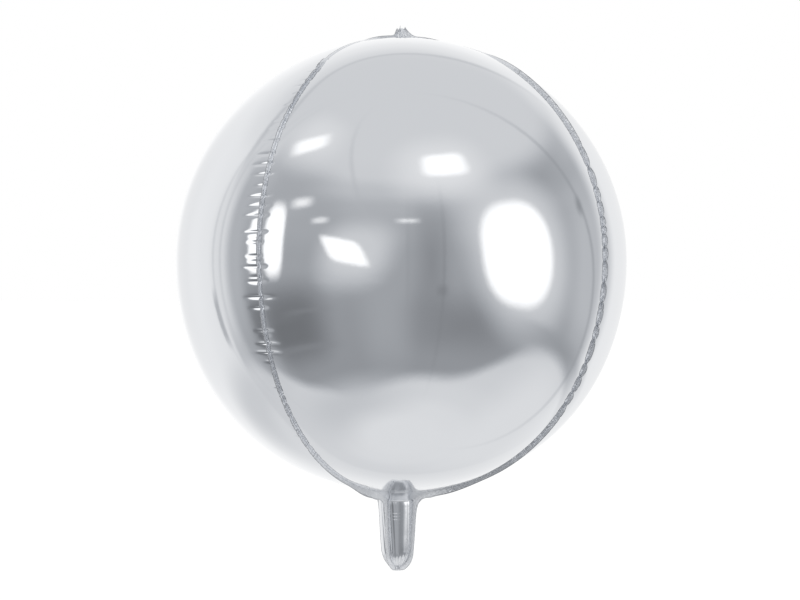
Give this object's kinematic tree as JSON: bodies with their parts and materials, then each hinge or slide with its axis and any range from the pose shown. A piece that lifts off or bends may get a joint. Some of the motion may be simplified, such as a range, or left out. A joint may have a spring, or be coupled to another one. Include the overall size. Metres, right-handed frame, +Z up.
{
  "type": "round foil balloon",
  "caption": "Round silver foil balloon of welded gores, with upright weld ears at the crown and a short puffed filling tail.",
  "frame": {"origin": "on the axis of the round envelope, at the height where it is widest", "axes": "+Z up through the crown, -Y out through the middle of the front gore, +X out through the middle of the right gore"},
  "size_m": [0.4, 0.4, 0.4912],
  "materials": {
    "foil_film": "mirror-bright silvered film",
    "foil_weld": "silvered film, finely crinkled where it is heat welded",
    "tail_film": "silvered film with soft lengthwise creases"
  },
  "bodies": {
    "root": {"gore_front": "foil_film", "gore_right": "foil_film", "gore_back": "foil_film", "gore_left": "foil_film", "weld_front_left": "foil_weld", "weld_front_right": "foil_weld", "weld_back_right": "foil_weld", "weld_back_left": "foil_weld", "tail_front": "tail_film", "tail_right": "tail_film", "tail_back": "tail_film", "tail_left": "tail_film", "tail_weld_front_left": "foil_weld", "tail_weld_front_right": "foil_weld", "tail_weld_back_right": "foil_weld", "tail_weld_back_left": "foil_weld", "crown_gather": "foil_weld", "tail_gather": "foil_weld"}
  },
  "joints": []
}
